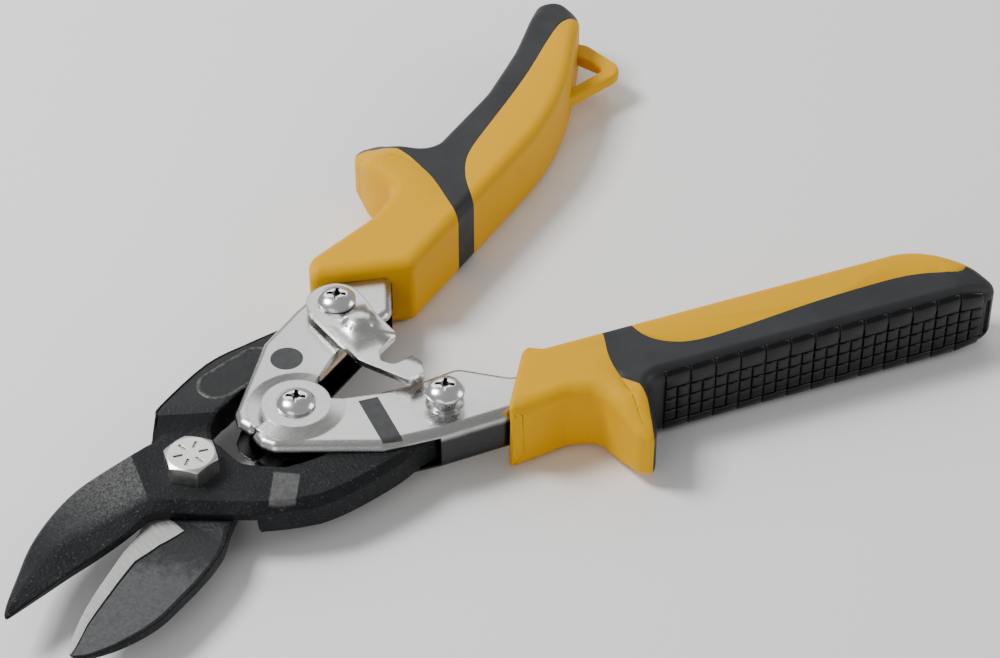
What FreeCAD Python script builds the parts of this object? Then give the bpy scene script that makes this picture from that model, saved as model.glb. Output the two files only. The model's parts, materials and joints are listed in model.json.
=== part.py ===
"""Compound-leverage aviation snips, lying flat with the handles open.

Frame: millimetres, +Z up.  The origin is on the main pivot's axis, in the plane
that the tool rests on.  +X runs from the main pivot through the centre pivot
towards the handles, and +Y is on the left handle's side.  The four pivots form a
dart: main pivot, left link, right link and, between them, the centre pivot.
"""
import FreeCAD, Part
import Sketcher
import math
import os

from FreeCAD import Placement, Rotation, Vector

os.makedirs("parts", exist_ok=True)
doc = FreeCAD.newDocument("aviation_snips")

# ---------------------------------------------------------------- driving sizes
SIZES = {
    # pivots, handles fully open
    "centre_x": 29.4,
    "link_x": 57.0,
    "link_y": 20.9,
    # levels
    "mid_level": 10.0,
    "channel_height": 12.0,
    "sheet": 1.8,
    "blade_height": 7.8,
    "shear_gap": 0.05,
    "grip_height": 20.0,
    # handle channels
    "joggle": 0.95,
    "disc_radius": 8.2,
    "dome_radius": 11.5,
    "bend_radius": 2.4,
    "dimple_radius": 4.6,
    "dimple_depth": 0.7,
    # blades
    "pivot_radius": 4.0,
    "open_pivot_clearance": 0.4,
    "tail_boss_radius": 6.0,
    # pins and their fits
    "pin_radius": 3.0,
    "running_fit": 0.05,
    "shoulder_height": 3.45,
    "groove_depth": 0.35,
    "head_radius": 4.65,
    "head_rim": 0.7,
    "head_dome": 1.6,
    "recess_depth": 1.5,
    "recess_reach": 2.3,
    "recess_width": 0.9,
    "rivet_nut_radius": 4.6,
    "rivet_nut_height": 1.9,
    # main pivot fasteners
    "hex_flats": 11.3,
    "hex_height": 4.8,
    "washer_radius": 7.2,
    "washer_height": 0.95,
    "nut_flats": 12.7,
    "nut_height": 3.1,
    "nut_collar_radius": 5.6,
    "nut_collar_height": 1.4,
    "insert_radius": 5.0,
    "insert_height": 1.0,
    # return spring and its bush
    "bush_radius": 4.6,
    "wire_radius": 0.75,
    "coil_radius": 6.1,
    "coil_pitch": 1.7,
    "coil_turns": 2.5,
    "leg_length": 15.0,
    # latch
    "latch_sheet": 1.8,
    "latch_gap": 1.5,
    "latch_flange": 2.7,
    "latch_washer_radius": 4.3,
    "latch_bump_radius": 3.6,
    "latch_bump_height": 2.4,
    # grips
    "grip_edge_radius": 3.2,
    "core_wall": 1.6,
    "pad_foot": 3.2,
    "pad_rise": 13.1,
    # hanging loop
    "loop_foot": 6.3,
    "loop_thickness": 3.4,
    "loop_round": 1.1,
}

sheet = doc.addObject("Spreadsheet::Sheet", "Sizes")
for row, (alias, value) in enumerate(SIZES.items(), start=1):
    sheet.set("A%d" % row, alias)
    sheet.set("B%d" % row, str(value))
    sheet.setAlias("B%d" % row, alias)
doc.recompute()


def size(alias):
    """A driving size, read back from the sheet."""
    return float(sheet.get(alias))


CENTRE = Vector(size("centre_x"), 0, 0)
RIGHT_LINK = Vector(size("link_x"), -size("link_y"), 0)
MID = size("mid_level")
CHANNEL_BOTTOM = MID - size("channel_height") / 2
CHANNEL_TOP = MID + size("channel_height") / 2
BLADE_BOTTOM = MID - size("blade_height") / 2
BLADE_TOP = MID + size("blade_height") / 2
PIN_HOLE = "Sizes.pin_radius + Sizes.running_fit"

# level expressions used by several bodies
AT_CHANNEL_BOTTOM = "Sizes.mid_level - Sizes.channel_height / 2"
AT_CHANNEL_TOP = "Sizes.mid_level + Sizes.channel_height / 2"
AT_BLADE_BOTTOM = "Sizes.mid_level - Sizes.blade_height / 2"
AT_BLADE_TOP = "Sizes.mid_level + Sizes.blade_height / 2"
AT_LATCH = "Sizes.mid_level + Sizes.channel_height / 2 + Sizes.latch_gap"
AT_HEAD = "Sizes.mid_level + Sizes.channel_height / 2 + Sizes.shoulder_height"


# ---------------------------------------------------------------- shared helpers
def new_body(label):
    body = doc.addObject("PartDesign::Body", label)
    body.Label = label
    return body


def origin_plane(body, role):
    for feature in body.Origin.OriginFeatures:
        if feature.Role == role:
            return feature
    raise ValueError(role)


def new_sketch(body, name, level=None, role="XY_Plane"):
    """A sketch on one of the body's own origin planes, raised to a level expression."""
    sketch = body.newObject("Sketcher::SketchObject", name)
    sketch.AttachmentSupport = [(origin_plane(body, role), "")]
    sketch.MapMode = "FlatFace"
    if level is not None:
        sketch.setExpression("AttachmentOffset.Base.z", level)
    return sketch


def upright_sketch(body, name, centre, turn=0.0):
    """A sketch on a vertical plane through a vertical axis at centre, turned about it."""
    sketch = new_sketch(body, name, role="XZ_Plane")
    offset = Placement(Vector(centre.x, 0, -centre.y), Rotation(Vector(0, 1, 0), turn))
    sketch.AttachmentOffset = offset
    return sketch


def add_circle(sketch, centre, radius_expression):
    """A circle whose radius is bound to the sheet."""
    index = sketch.addGeometry(Part.Circle(Vector(centre.x, centre.y, 0), Vector(0, 0, 1), 1.0))
    sketch.addConstraint(Sketcher.Constraint("DistanceX", -1, 1, index, 3, centre.x))
    sketch.addConstraint(Sketcher.Constraint("DistanceY", -1, 1, index, 3, centre.y))
    number = sketch.addConstraint(Sketcher.Constraint("Radius", index, 1.0))
    sketch.setExpression("Constraints[%d]" % number, radius_expression)


def add_polygon(sketch, points):
    corners = [Vector(x, y, 0) for x, y in points]
    for start, end in zip(corners, corners[1:] + corners[:1]):
        sketch.addGeometry(Part.LineSegment(start, end))


def add_path(sketch, runs):
    """A closed outline: each run is a list of points, smooth when it has more than two."""
    for run, following in zip(runs, runs[1:] + runs[:1]):
        points = [Vector(x, y, 0) for x, y in run]
        if len(points) > 2:
            curve = Part.BSplineCurve()
            curve.interpolate(points)
            sketch.addGeometry(curve)
        elif len(points) == 2:
            sketch.addGeometry(Part.LineSegment(points[0], points[1]))
        end = Vector(run[-1][0], run[-1][1], 0)
        start = Vector(following[0][0], following[0][1], 0)
        if end.distanceToPoint(start) > 1e-6:
            sketch.addGeometry(Part.LineSegment(end, start))


def add_rounded(sketch, corners):
    """A closed outline of straight runs whose corners (x, y, radius) are rounded."""
    count = len(corners)
    starts = []
    ends = []
    arcs = []
    for index, (x, y, radius) in enumerate(corners):
        here = Vector(x, y, 0)
        before = Vector(corners[index - 1][0], corners[index - 1][1], 0)
        after = Vector(corners[(index + 1) % count][0], corners[(index + 1) % count][1], 0)
        back = (before - here).normalize()
        ahead = (after - here).normalize()
        half = back.getAngle(ahead) / 2
        if radius <= 0:
            starts.append(here)
            ends.append(here)
            continue
        reach = radius / math.tan(half)
        first = here + back * reach
        last = here + ahead * reach
        middle = here + (back + ahead).normalize() * (radius / math.sin(half) - radius)
        arcs.append(Part.Arc(first, middle, last))
        starts.append(first)
        ends.append(last)
    for index in range(count):
        following = starts[(index + 1) % count]
        if ends[index].distanceToPoint(following) > 1e-6:
            sketch.addGeometry(Part.LineSegment(ends[index], following))
    for arc in arcs:
        sketch.addGeometry(arc)


def pad(body, sketch, length_expression):
    feature = body.newObject("PartDesign::Pad", sketch.Name + "_pad")
    feature.Profile = sketch
    feature.setExpression("Length", length_expression)
    sketch.Visibility = False
    doc.recompute()
    return feature


def pocket_up(body, sketch, length_expression):
    """Cuts upwards from the sketch, and checks that something was cut."""
    before = body.Shape.Volume
    feature = body.newObject("PartDesign::Pocket", sketch.Name + "_pocket")
    feature.Profile = sketch
    feature.Reversed = True
    feature.setExpression("Length", length_expression)
    doc.recompute()
    if body.Shape.Volume >= before - 1e-3:
        raise ValueError("pocket %s cut nothing" % sketch.Name)
    return feature


def revolve(body, sketch, angle=360.0):
    feature = body.newObject("PartDesign::Revolution", sketch.Name + "_turn")
    feature.Profile = sketch
    feature.ReferenceAxis = (sketch, ["V_Axis"])
    feature.Angle = angle
    feature.Midplane = angle < 360.0
    doc.recompute()
    return feature


def groove(body, sketch):
    before = body.Shape.Volume
    feature = body.newObject("PartDesign::Groove", sketch.Name + "_cut")
    feature.Profile = sketch
    feature.ReferenceAxis = (sketch, ["V_Axis"])
    feature.Angle = 360.0
    doc.recompute()
    if body.Shape.Volume >= before - 1e-3:
        raise ValueError("groove %s cut nothing" % sketch.Name)
    return feature


def edges_where(shape, test):
    return ["Edge%d" % (n + 1) for n, edge in enumerate(shape.Edges) if test(edge)]


def at_level(edge, level):
    box = edge.BoundBox
    return abs(box.ZMin - level) < 1e-4 and abs(box.ZMax - level) < 1e-4


def fillet(body, edges, radius_expression):
    base = body.Tip
    feature = body.newObject("PartDesign::Fillet", base.Name + "_fillet")
    feature.Base = (base, edges)
    feature.setExpression("Radius", radius_expression)
    doc.recompute()
    return feature


def boolean(kind, name, base, tool):
    feature = doc.addObject(kind, name)
    feature.Label = name
    if kind == "Part::Cut":
        feature.Base = base
        feature.Tool = tool
    else:
        feature.Shapes = [base, tool]
    doc.recompute()
    return feature


def mirror_points(points):
    return [(x, -y) for x, y in points]


# ---------------------------------------------------------------- handle channels
# The right handle's sheet-steel channel, seen from above.  The left handle's is
# the same pressing turned over about the X axis.
WEB_START = (49.8, -28.5)
WEB_SLOPE = -0.277
WEB_END_X = 108.0


def web_line(x, inset=0.0):
    """The channel's outer wall, or a line inset from it towards the middle."""
    rise = inset * math.hypot(1.0, WEB_SLOPE)
    return WEB_START[1] + WEB_SLOPE * (x - WEB_START[0]) + rise


TANG_WIDTH = 10.0
CHANNEL_OUTLINE = [
    (31.0, -0.15, 0), (16.4, -0.15, 1.0), (15.6, -4.4, 3.0), (17.2, -7.9, 3.0),
    (36.8, -23.6, 4.0), (WEB_START[0], WEB_START[1], 0), (WEB_END_X, web_line(WEB_END_X), 1.5),
    (WEB_END_X, web_line(WEB_END_X, TANG_WIDTH), 1.5), (84.0, web_line(84.0, TANG_WIDTH), 8.0),
    (75.0, -22.8, 4.0), (67.2, -12.4, 5.0), (56.6, -10.6, 6.0), (38.4, -4.2, 0),
]
SECTOR_START = -179.0
SECTOR_END = -26.5


def joggled_plate(body, prefix, flat_bottom, direction):
    """The disc round the centre pin, raised by the joggle, and the slope down to the plate."""
    sheet_size = size("sheet")
    offset = size("joggle") * direction
    disc = size("disc_radius")
    dome = size("dome_radius")
    hole = size("pin_radius") + size("running_fit")
    low = flat_bottom + offset
    sketch = upright_sketch(body, prefix + "_disc", CENTRE)
    add_polygon(sketch, [(hole, low), (disc, low), (disc, low + sheet_size), (hole, low + sheet_size)])
    revolve(body, sketch)
    sketch = upright_sketch(body, prefix + "_slope", CENTRE, (SECTOR_START + SECTOR_END) / 2)
    overlap = 0.2
    add_polygon(sketch, [
        (disc - overlap, low), (dome + overlap, flat_bottom),
        (dome + overlap, flat_bottom + sheet_size), (disc - overlap, low + sheet_size)])
    revolve(body, sketch, SECTOR_END - SECTOR_START)


def handle_channel(label):
    body = new_body(label)
    prefix = label.split("_")[0]
    sketch = new_sketch(body, prefix + "_channel_outline", AT_CHANNEL_BOTTOM)
    add_rounded(sketch, CHANNEL_OUTLINE)
    pad(body, sketch, "Sizes.channel_height")

    def along_web(edge):
        ends = [vertex.Point for vertex in edge.Vertexes]
        if len(ends) != 2 or edge.Length < 30:
            return False
        return all(abs(p.y - web_line(p.x)) < 0.05 for p in ends)

    fillet(body, edges_where(body.Shape, along_web), "Sizes.bend_radius")
    sketch = new_sketch(body, prefix + "_channel_hollow", AT_CHANNEL_BOTTOM + " + Sizes.sheet")
    inset = size("sheet")
    add_polygon(sketch, [
        (5, 10), (130, 10), (130, web_line(130, inset)),
        (WEB_START[0], web_line(WEB_START[0], inset)), (WEB_START[0], -60), (5, -60)])
    pocket_up(body, sketch, "Sizes.channel_height - 2 * Sizes.sheet")
    sketch = new_sketch(body, prefix + "_centre_opening", AT_CHANNEL_BOTTOM + " - 1")
    add_circle(sketch, CENTRE, "Sizes.dome_radius")
    pocket_up(body, sketch, "Sizes.channel_height + 2")
    joggled_plate(body, prefix + "_bottom", CHANNEL_BOTTOM, 1)
    joggled_plate(body, prefix + "_top", CHANNEL_TOP - size("sheet"), 1)
    sketch = new_sketch(body, prefix + "_link_hole", AT_CHANNEL_BOTTOM + " - 1")
    add_circle(sketch, RIGHT_LINK, "Sizes.pin_radius")
    pocket_up(body, sketch, "Sizes.channel_height + 2")
    for name, level, direction in (("upper", CHANNEL_TOP, -1), ("lower", CHANNEL_BOTTOM, 1)):
        sketch = upright_sketch(body, prefix + "_%s_dimple" % name, RIGHT_LINK)
        depth = size("dimple_depth") * direction
        add_polygon(sketch, [
            (0, level - depth), (0, level + depth), (size("pin_radius") + 0.3, level + depth),
            (size("dimple_radius"), level), (size("dimple_radius"), level - depth)])
        groove(body, sketch)
    return body


right_channel = handle_channel("right_handle_channel")
left_channel = handle_channel("left_handle_channel")
TURN_OVER = Placement(Vector(0, 0, 2 * MID), Rotation(Vector(1, 0, 0), 180))
left_channel.Placement = TURN_OVER
doc.recompute()


# ---------------------------------------------------------------- blades
# Each blade is full height from its tail to the wall beside the main pivot, and
# half height at the pivot and in the jaw, where the two blades slide on each other.
BODY_EDGE = [(-14.2, -4.4), (7.0, -22.6)]
TAIL_OUTER = [(7.0, -22.6), (10.5, -25.0), (16.0, -26.6), (24.0, -27.4), (32.0, -27.4),
              (42.0, -26.5), (50.0, -25.9), (55.8, -26.78)]
TAIL_INNER = [(55.5, -15.09), (50.0, -14.6), (40.0, -15.2), (27.0, -15.2), (18.5, -13.0),
              (13.2, -9.4), (9.6, -4.2)]
WALL = [(4.2, -23.9), (19.4, -11.4)]

UPPER_JAW_OUTER = [(9.6, -4.2), (9.2, 1.5), (8.3, 6.5), (5.6, 10.9), (1.0, 12.9), (-4.0, 13.1),
                   (-10.0, 13.0), (-18.7, 12.9), (-30.2, 9.8), (-39.6, 5.4), (-48.4, -0.9),
                   (-54.2, -6.2), (-56.2, -8.6)]
UPPER_JAW_EDGE = [(-55.4, -9.5), (-41.4, -8.5), (-27.0, -7.2), (-14.2, -4.4)]

LOWER_JAW_OUTER = [(9.6, 4.2), (11.6, -1.0), (10.6, -6.2), (6.8, -11.2), (1.4, -14.6),
                   (-2.4, -17.6), (-7.2, -22.3), (-13.3, -25.8), (-21.1, -28.9), (-30.3, -31.0),
                   (-38.3, -31.3), (-45.2, -30.2), (-50.2, -28.6)]
LOWER_JAW_EDGE = [(-50.6, -26.4), (-49.4, -24.9), (-41.3, -18.4), (-34.9, -14.6), (-27.0, -10.6),
                  (-17.4, -6.3), (-14.2, -1.5)]


def blade(label, body_side, jaw_runs, link, upper):
    """One blade; its tail runs to the link and its jaw lies across the main pivot."""
    body = new_body(label)
    prefix = label.split("_")[0]
    sketch = new_sketch(body, prefix + "_blade_outline", AT_BLADE_BOTTOM)
    boss = size("tail_boss_radius")
    first = body_side(TAIL_OUTER)[-1]
    last = body_side(TAIL_INNER)[0]
    far = (link.x + boss, link.y)
    add_path(sketch, [body_side(TAIL_OUTER)])
    geometry = sketch.Geometry
    sketch.delGeometry(len(geometry) - 1)
    sketch.addGeometry(Part.Arc(Vector(*first, 0), Vector(*far, 0), Vector(*last, 0)))
    runs = [body_side(TAIL_INNER)] + jaw_runs + [body_side(BODY_EDGE)]
    for run, following in zip(runs, runs[1:] + [body_side(TAIL_OUTER)]):
        points = [Vector(x, y, 0) for x, y in run]
        if len(points) > 2:
            curve = Part.BSplineCurve()
            curve.interpolate(points)
            sketch.addGeometry(curve)
        else:
            sketch.addGeometry(Part.LineSegment(points[0], points[1]))
        gap_start = points[-1]
        gap_end = Vector(following[0][0], following[0][1], 0)
        if gap_start.distanceToPoint(gap_end) > 1e-6:
            sketch.addGeometry(Part.LineSegment(gap_start, gap_end))
    pad(body, sketch, "Sizes.blade_height")
    wall = body_side(WALL)
    side = 1 if link.y < 0 else -1
    level = AT_BLADE_BOTTOM + " - 1" if upper else "Sizes.mid_level - Sizes.shear_gap"
    depth = "Sizes.blade_height / 2 + 1 + Sizes.shear_gap"
    sketch = new_sketch(body, prefix + "_blade_half", level)
    add_polygon(sketch, [
        wall[0], wall[1], (19.4, 12 * side), (19.4, 60 * side), (-80, 60 * side),
        (-80, -60 * side), (wall[0][0], -60 * side)])
    pocket_up(body, sketch, depth)
    sketch = new_sketch(body, prefix + "_pivot_hole", AT_BLADE_BOTTOM + " - 1")
    radius = "Sizes.pivot_radius" if upper else "Sizes.pivot_radius + Sizes.open_pivot_clearance"
    add_circle(sketch, Vector(0, 0, 0), radius)
    pocket_up(body, sketch, "Sizes.blade_height + 2")
    sketch = new_sketch(body, prefix + "_link_bore", AT_BLADE_BOTTOM + " - 1")
    add_circle(sketch, link, PIN_HOLE)
    pocket_up(body, sketch, "Sizes.blade_height + 2")
    return body


def same_side(points):
    return list(points)


LEFT_LINK = Vector(RIGHT_LINK.x, -RIGHT_LINK.y, 0)
upper_blade = blade(
    "upper_blade", same_side, [UPPER_JAW_OUTER, UPPER_JAW_EDGE], RIGHT_LINK, True)
lower_blade = blade(
    "lower_blade", mirror_points, [LOWER_JAW_OUTER, LOWER_JAW_EDGE], LEFT_LINK, False)


# ---------------------------------------------------------------- pins and nuts
def add_ring(sketch, centre, outer_expression, inner_expression):
    add_circle(sketch, centre, outer_expression)
    add_circle(sketch, centre, inner_expression)


def ring_body(label, centre, level, outer_expression, inner_expression, height_expression):
    body = new_body(label)
    sketch = new_sketch(body, label + "_ring", level)
    add_ring(sketch, centre, outer_expression, inner_expression)
    pad(body, sketch, height_expression)
    return body


def chamfer(body, edges, size_text):
    base = body.Tip
    feature = body.newObject("PartDesign::Chamfer", base.Name + "_chamfer")
    feature.Base = (base, edges)
    feature.setExpression("Size", size_text)
    doc.recompute()
    return feature


def rim_edges(shape, centre, radius, level):
    def on_rim(edge):
        if not at_level(edge, level) or not isinstance(edge.Curve, Part.Circle):
            return False
        offset = math.hypot(edge.Curve.Center.x - centre.x, edge.Curve.Center.y - centre.y)
        return offset < 1e-3 and abs(edge.Curve.Radius - radius) < 1e-3

    return edges_where(shape, on_rim)


def pan_head(body, prefix, centre, level_expression, level):
    """A domed head with a cross recess, from its seat upwards."""
    sketch = new_sketch(body, prefix + "_rim", level_expression)
    add_circle(sketch, centre, "Sizes.head_radius")
    pad(body, sketch, "Sizes.head_rim")
    base = level + size("head_rim")
    top = base + size("head_dome")
    radius = size("head_radius")
    shoulder = Vector(0.74 * radius, base + 0.66 * size("head_dome"), 0)
    sketch = upright_sketch(body, prefix + "_dome", centre)
    sketch.addGeometry(Part.Arc(Vector(radius, base, 0), shoulder, Vector(0, top, 0)))
    sketch.addGeometry(Part.LineSegment(Vector(0, top, 0), Vector(0, base, 0)))
    sketch.addGeometry(Part.LineSegment(Vector(0, base, 0), Vector(radius, base, 0)))
    revolve(body, sketch)
    reach = size("recess_reach")
    half = size("recess_width") / 2
    depth = " + Sizes.head_rim + Sizes.head_dome - Sizes.recess_depth"
    sketch = new_sketch(body, prefix + "_recess", level_expression + depth)
    outline = []
    for quarter in range(4):
        angle = math.radians(45 + 90 * quarter)
        along = Vector(math.cos(angle), math.sin(angle), 0)
        across = Vector(-along.y, along.x, 0)
        inner = centre + along * (half * 2.2) - across * half
        outline.append((inner.x, inner.y))
        for sign in (-1, 1):
            corner = centre + along * reach + across * (half * sign)
            outline.append((corner.x, corner.y))
        inner = centre + along * (half * 2.2) + across * half
        outline.append((inner.x, inner.y))
    add_polygon(sketch, outline)
    pocket_up(body, sketch, "Sizes.recess_depth + 1")


def pin_screw(label, centre, foot_expression, head_expression, head_level, grooved):
    body = new_body(label)
    prefix = label
    sketch = new_sketch(body, prefix + "_shank", foot_expression)
    add_circle(sketch, centre, "Sizes.pin_radius")
    pad(body, sketch, "(" + head_expression + ") - (" + foot_expression + ")")
    chamfer(body, edges_where(body.Shape, lambda e: e.BoundBox.ZMax < 3), "0.4")
    pan_head(body, prefix, centre, head_expression, head_level)
    if grooved:
        radius = size("pin_radius")
        depth = size("groove_depth")
        sketch = upright_sketch(body, prefix + "_neck", centre)
        middle = CHANNEL_TOP + 2.1
        add_polygon(sketch, [
            (radius - depth, middle - 0.5), (radius + 0.5, middle - 0.5),
            (radius + 0.5, middle + 0.5), (radius - depth, middle + 0.5)])
        groove(body, sketch)
    return body


LINK_FOOT = AT_CHANNEL_BOTTOM + " - Sizes.rivet_nut_height - 0.4"
right_screw = pin_screw(
    "right_link_screw", RIGHT_LINK, LINK_FOOT, AT_HEAD, CHANNEL_TOP + size("shoulder_height"), True)
left_screw = pin_screw(
    "left_link_screw", LEFT_LINK, LINK_FOOT, AT_HEAD, CHANNEL_TOP + size("shoulder_height"), False)
CENTRE_FOOT = AT_CHANNEL_BOTTOM + " - Sizes.joggle - Sizes.rivet_nut_height - 0.35"
centre_screw = pin_screw(
    "centre_screw", CENTRE, CENTRE_FOOT, AT_CHANNEL_TOP + " + Sizes.joggle",
    CHANNEL_TOP + size("joggle"), False)


def rivet_nut(label, centre, top_expression, radius_expression):
    level = top_expression + " - Sizes.rivet_nut_height"
    body = ring_body(
        label, centre, level, radius_expression, "Sizes.pin_radius", "Sizes.rivet_nut_height")
    bottom = body.Shape.BoundBox.ZMin
    outer = body.Shape.BoundBox.XLength / 2
    chamfer(body, rim_edges(body.Shape, centre, outer, bottom), "0.5")
    return body


WIDE_NUT = "Sizes.rivet_nut_radius + 0.6"
right_nut = rivet_nut("right_link_nut", RIGHT_LINK, AT_CHANNEL_BOTTOM, WIDE_NUT)
left_nut = rivet_nut("left_link_nut", LEFT_LINK, AT_CHANNEL_BOTTOM, WIDE_NUT)
centre_nut = rivet_nut(
    "centre_nut", CENTRE, AT_CHANNEL_BOTTOM + " - Sizes.joggle - 0.05", "Sizes.rivet_nut_radius")

BUSH_FOOT = AT_CHANNEL_BOTTOM + " + Sizes.joggle + Sizes.sheet"
centre_bush = ring_body(
    "centre_bush", CENTRE, BUSH_FOOT, "Sizes.bush_radius", "Sizes.pin_radius + Sizes.running_fit",
    "Sizes.channel_height - 2 * Sizes.sheet - 2 * Sizes.joggle - Sizes.running_fit")


# ---------------------------------------------------------------- return spring
def return_spring():
    """A torsion coil round the bush with a straight leg into each channel."""
    radius = size("coil_radius")
    wire = size("wire_radius")
    turns = size("coil_turns")
    rise = size("coil_pitch") * turns
    leg = size("leg_length")
    helix = Part.makeHelix(size("coil_pitch"), rise, radius)
    slope = math.atan2(size("coil_pitch"), 2 * math.pi * radius)
    start = Vector(radius, 0, 0)
    heading = Vector(0, math.cos(slope), math.sin(slope))
    ring = Part.Wire([Part.makeCircle(wire, start, heading)])
    coil = Part.Wire(helix.Edges).makePipeShell([ring], True, True)
    end_angle = 2 * math.pi * turns
    end = Vector(radius * math.cos(end_angle), radius * math.sin(end_angle), rise)
    last = Vector(-math.sin(end_angle), math.cos(end_angle), 0)
    first_leg = Part.makeCylinder(wire, leg, start, Vector(0, -1, 0))
    last_leg = Part.makeCylinder(wire, leg, end, last)
    knees = [Part.makeSphere(wire, start), Part.makeSphere(wire, end)]
    shape = coil.fuse([first_leg, last_leg] + knees)
    feature = doc.addObject("Part::Feature", "return_spring")
    feature.Label = "return_spring"
    feature.Shape = shape
    turn = Rotation(Vector(0, 0, 1), 66)
    feature.Placement = Placement(Vector(CENTRE.x, 0, MID - rise / 2), turn)
    return feature


spring = return_spring()


# ---------------------------------------------------------------- main pivot
def hexagon(centre, flats, turn=0.0):
    radius = flats / math.sqrt(3)
    angles = [math.radians(turn + 60 * n) for n in range(6)]
    return [(centre.x + radius * math.cos(a), centre.y + radius * math.sin(a)) for a in angles]


def hex_chamfer(body, name, flats, level, direction):
    """Cones off the corners of a hexagon at one end."""
    corner = flats / math.sqrt(3)
    depth = (corner - 0.47 * flats) * 0.55
    sketch = upright_sketch(body, name, Vector(0, 0, 0))
    add_polygon(sketch, [
        (0.47 * flats, level + direction), (0.47 * flats, level), (corner + 0.3, level - direction * depth),
        (corner + 0.3, level + direction)])
    groove(body, sketch)


HEX_TURN = 8.0
pivot_bolt = new_body("pivot_bolt")
sketch = new_sketch(pivot_bolt, "bolt_shank")
add_circle(sketch, Vector(0, 0, 0), "Sizes.pivot_radius")
pad(pivot_bolt, sketch, AT_BLADE_TOP)
chamfer(pivot_bolt, edges_where(pivot_bolt.Shape, lambda e: e.BoundBox.ZMax < 1e-4), "0.6")
sketch = new_sketch(pivot_bolt, "bolt_hexagon", AT_BLADE_TOP)
add_polygon(sketch, hexagon(Vector(0, 0, 0), size("hex_flats"), HEX_TURN))
pad(pivot_bolt, sketch, "Sizes.hex_height")
hex_chamfer(pivot_bolt, "bolt_chamfer", size("hex_flats"), BLADE_TOP + size("hex_height"), 1)
sketch = new_sketch(pivot_bolt, "bolt_marks", AT_BLADE_TOP + " + Sizes.hex_height - 0.25")
for mark in range(6):
    angle = math.radians(HEX_TURN + 30 + 60 * mark)
    along = Vector(math.cos(angle), math.sin(angle), 0)
    across = Vector(-along.y, along.x, 0) * 0.28
    inner = along * 1.9
    outer = along * 4.0
    corners = [inner - across, outer - across, outer + across, inner + across]
    add_polygon(sketch, [(corner.x, corner.y) for corner in corners])
pocket_up(pivot_bolt, sketch, "1")

WASHER_FOOT = AT_BLADE_BOTTOM + " - Sizes.running_fit - Sizes.washer_height"
pivot_washer = ring_body(
    "pivot_washer", Vector(0, 0, 0), WASHER_FOOT, "Sizes.washer_radius", "Sizes.pivot_radius",
    "Sizes.washer_height")

NUT_FOOT = WASHER_FOOT + " - Sizes.nut_height"
pivot_locknut = new_body("pivot_locknut")
sketch = new_sketch(pivot_locknut, "locknut_hexagon", NUT_FOOT)
add_polygon(sketch, hexagon(Vector(0, 0, 0), size("nut_flats"), 20.0))
add_circle(sketch, Vector(0, 0, 0), "Sizes.pivot_radius")
pad(pivot_locknut, sketch, "Sizes.nut_height")
hex_chamfer(pivot_locknut, "locknut_chamfer", size("nut_flats"), pivot_locknut.Shape.BoundBox.ZMin, -1)
sketch = new_sketch(pivot_locknut, "locknut_collar", NUT_FOOT + " - Sizes.nut_collar_height")
add_ring(sketch, Vector(0, 0, 0), "Sizes.nut_collar_radius", "Sizes.insert_radius")
pad(pivot_locknut, sketch, "Sizes.nut_collar_height")
pivot_insert = ring_body(
    "pivot_nut_insert", Vector(0, 0, 0), NUT_FOOT + " - Sizes.insert_height",
    "Sizes.insert_radius", "Sizes.pivot_radius", "Sizes.insert_height")


# ---------------------------------------------------------------- latch
latch_washer = ring_body(
    "latch_spacer", LEFT_LINK, AT_CHANNEL_TOP, "Sizes.latch_washer_radius + 0.9",
    "Sizes.pin_radius", "Sizes.latch_gap - Sizes.running_fit")

LATCH_EYE = 6.8
EYE_X = LEFT_LINK.x
EYE_TOP = LEFT_LINK.y + LATCH_EYE
LATCH_OUTLINE = [
    (EYE_X + LATCH_EYE, EYE_TOP, 6.4), (EYE_X - LATCH_EYE, EYE_TOP, 6.4), (49.4, 17.0, 5.0),
    (48.4, 0.6, 3.0), (53.4, -13.1, 1.2), (57.1, -13.6, 2.2), (59.3, -9.2, 1.6),
    (59.1, -6.0, 0.8), (53.7, -6.0, 2.2), (52.2, -2.8, 1.2), (54.0, 0.2, 1.8),
    (61.0, 2.4, 1.6), (61.7, 12.0, 8.0), (62.9, 17.0, 6.0),
]
latch = new_body("latch_plate")
sketch = new_sketch(latch, "latch_outline", AT_LATCH)
add_rounded(sketch, LATCH_OUTLINE)
pad(latch, sketch, "Sizes.latch_sheet")
sketch = new_sketch(latch, "latch_eye", AT_LATCH + " - 1")
add_circle(sketch, LEFT_LINK, PIN_HOLE)
pocket_up(latch, sketch, "Sizes.latch_sheet + 2")
sketch = new_sketch(latch, "latch_flange", AT_LATCH + " + Sizes.latch_sheet - Sizes.latch_flange")
add_polygon(sketch, [(49.75, 15.2), (48.95, 2.6), (50.25, 2.6), (51.05, 15.2)])
pad(latch, sketch, "Sizes.latch_flange - 0.4")
sketch = new_sketch(latch, "latch_bump", AT_LATCH + " + Sizes.latch_sheet")
BUMP = Vector(56.6, 11.4, 0)
add_circle(sketch, BUMP, "Sizes.latch_bump_radius")
pad(latch, sketch, "Sizes.latch_bump_height / 2")
bump_level = CHANNEL_TOP + size("latch_gap") + size("latch_sheet") + size("latch_bump_height") / 2
sketch = upright_sketch(latch, "latch_bump_crown", BUMP)
bump_radius = size("latch_bump_radius")
bump_rise = size("latch_bump_height") / 2
add_polygon(sketch, [
    (0, bump_level), (bump_radius, bump_level), (bump_radius * 0.9, bump_level + bump_rise * 0.6),
    (bump_radius * 0.66, bump_level + bump_rise), (0, bump_level + bump_rise)])
revolve(latch, sketch)


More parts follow.
